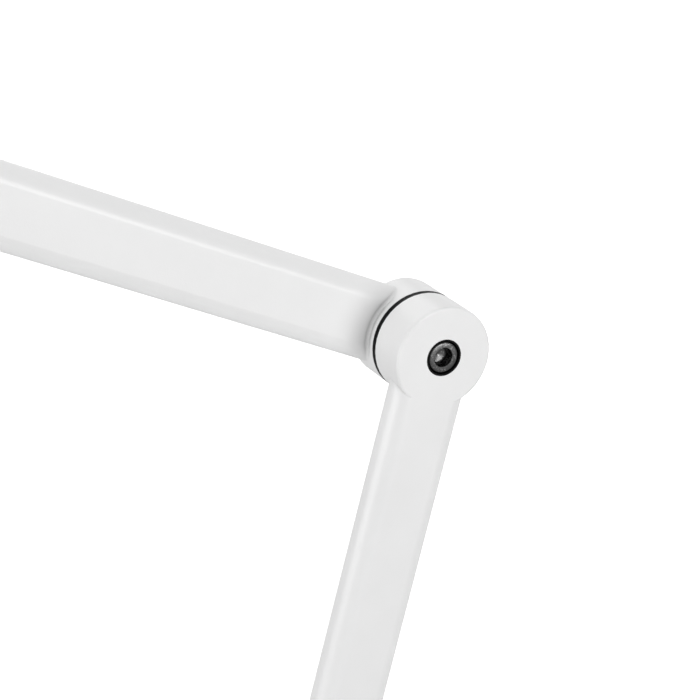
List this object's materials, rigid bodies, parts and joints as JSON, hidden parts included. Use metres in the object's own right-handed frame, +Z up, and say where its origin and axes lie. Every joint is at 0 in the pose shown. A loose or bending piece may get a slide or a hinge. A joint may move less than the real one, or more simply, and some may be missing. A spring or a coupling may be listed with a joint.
{
  "type": "folding desk lamp",
  "caption": "Desk lamp with two flat arms that fold past each other on friction hinges, a slim light head and a round weighted base.",
  "frame": {"origin": "on the base's flat underside, on the axis that the post swivels about", "axes": "+Z up; the hinge axes run along Y; the head reaches towards -X and the power socket faces +X"},
  "size_m": [0.5841, 0.2, 0.595],
  "materials": {
    "white_coat": "matt white powder coat on aluminium",
    "white_plastic": "matt white plastic",
    "black_plastic": "matt black plastic",
    "black_steel": "black oxide on steel",
    "bright_steel": "plain steel",
    "lead_sleeve": "black lead sleeve",
    "circuit_board": "green circuit board",
    "cast_iron": "cast iron",
    "rubber": "black rubber",
    "bronze": "bronze",
    "board_metal": "white solder mask on aluminium",
    "light_chip": "yellow phosphor",
    "opal_panel": "opal acrylic"
  },
  "bodies": {
    "base": {"base_cover": "white_coat", "base_weight": "cast_iron", "base_pad": "rubber", "base_screws": "bright_steel", "swivel_bush": "bronze", "swivel_washer": "black_plastic", "stop_pin": "bright_steel", "inlet_jack": "black_plastic", "inlet_pin": "bright_steel", "inlet_board": "circuit_board", "base_lead": "lead_sleeve"},
    "post": {"swivel_post": "white_coat", "post_nut": "bright_steel", "post_spring": "bright_steel", "post_lead": "lead_sleeve", "shoulder_screw": "black_steel", "shoulder_springs": "bright_steel", "shoulder_washer": "black_plastic", "shoulder_nut": "bright_steel", "shoulder_cap": "white_plastic"},
    "lower": {"lower_arm": "white_coat", "lower_lead": "lead_sleeve", "shoulder_bush": "black_plastic", "elbow_bush": "black_plastic"},
    "upper": {"upper_arm": "white_coat", "upper_lead": "lead_sleeve", "elbow_screw": "black_steel", "elbow_springs": "bright_steel", "elbow_washer": "black_plastic", "elbow_nut": "bright_steel", "elbow_cap": "white_plastic", "wrist_screw": "black_steel", "wrist_springs": "bright_steel", "wrist_washer": "black_plastic", "wrist_nut": "bright_steel", "wrist_cap": "white_plastic"},
    "head": {"head_neck": "white_coat", "wrist_bush": "black_plastic", "neck_screws": "bright_steel", "head_housing": "white_coat", "head_cover": "white_plastic", "diffuser": "opal_panel", "reflector": "white_plastic", "led_board": "board_metal", "leds": "light_chip", "board_screws": "bright_steel", "switch_board": "circuit_board", "switch_body": "black_plastic", "head_lead": "lead_sleeve"},
    "button": {"push_button": "black_plastic", "switch_plunger": "bright_steel"}
  },
  "joints": [
    {"name": "base_swivel", "type": "hinge", "parent": "base", "child": "post", "pos_m": [0, 0, 0.016], "axis": [0, 0, 1], "range_deg": [-165, 165]},
    {"name": "shoulder_tilt", "type": "hinge", "parent": "post", "child": "lower", "pos_m": [0, 0, 0.05], "axis": [0, 1, 0], "range_deg": [-60, 75]},
    {"name": "elbow_tilt", "type": "hinge", "parent": "lower", "child": "upper", "pos_m": [0.09835, 0, 0.41705], "axis": [0, -1, 0], "range_deg": [-80, 80]},
    {"name": "head_tilt", "type": "hinge", "parent": "upper", "child": "head", "pos_m": [-0.24548, 0, 0.57885], "axis": [0, 1, 0], "range_deg": [-90, 90]},
    {"name": "button_press", "type": "slide", "parent": "head", "child": "button", "axis": [0, 0, -1], "range_m": [0, 0.0006], "stiffness_N_per_m": 600, "springref_m": -0.001}
  ]
}
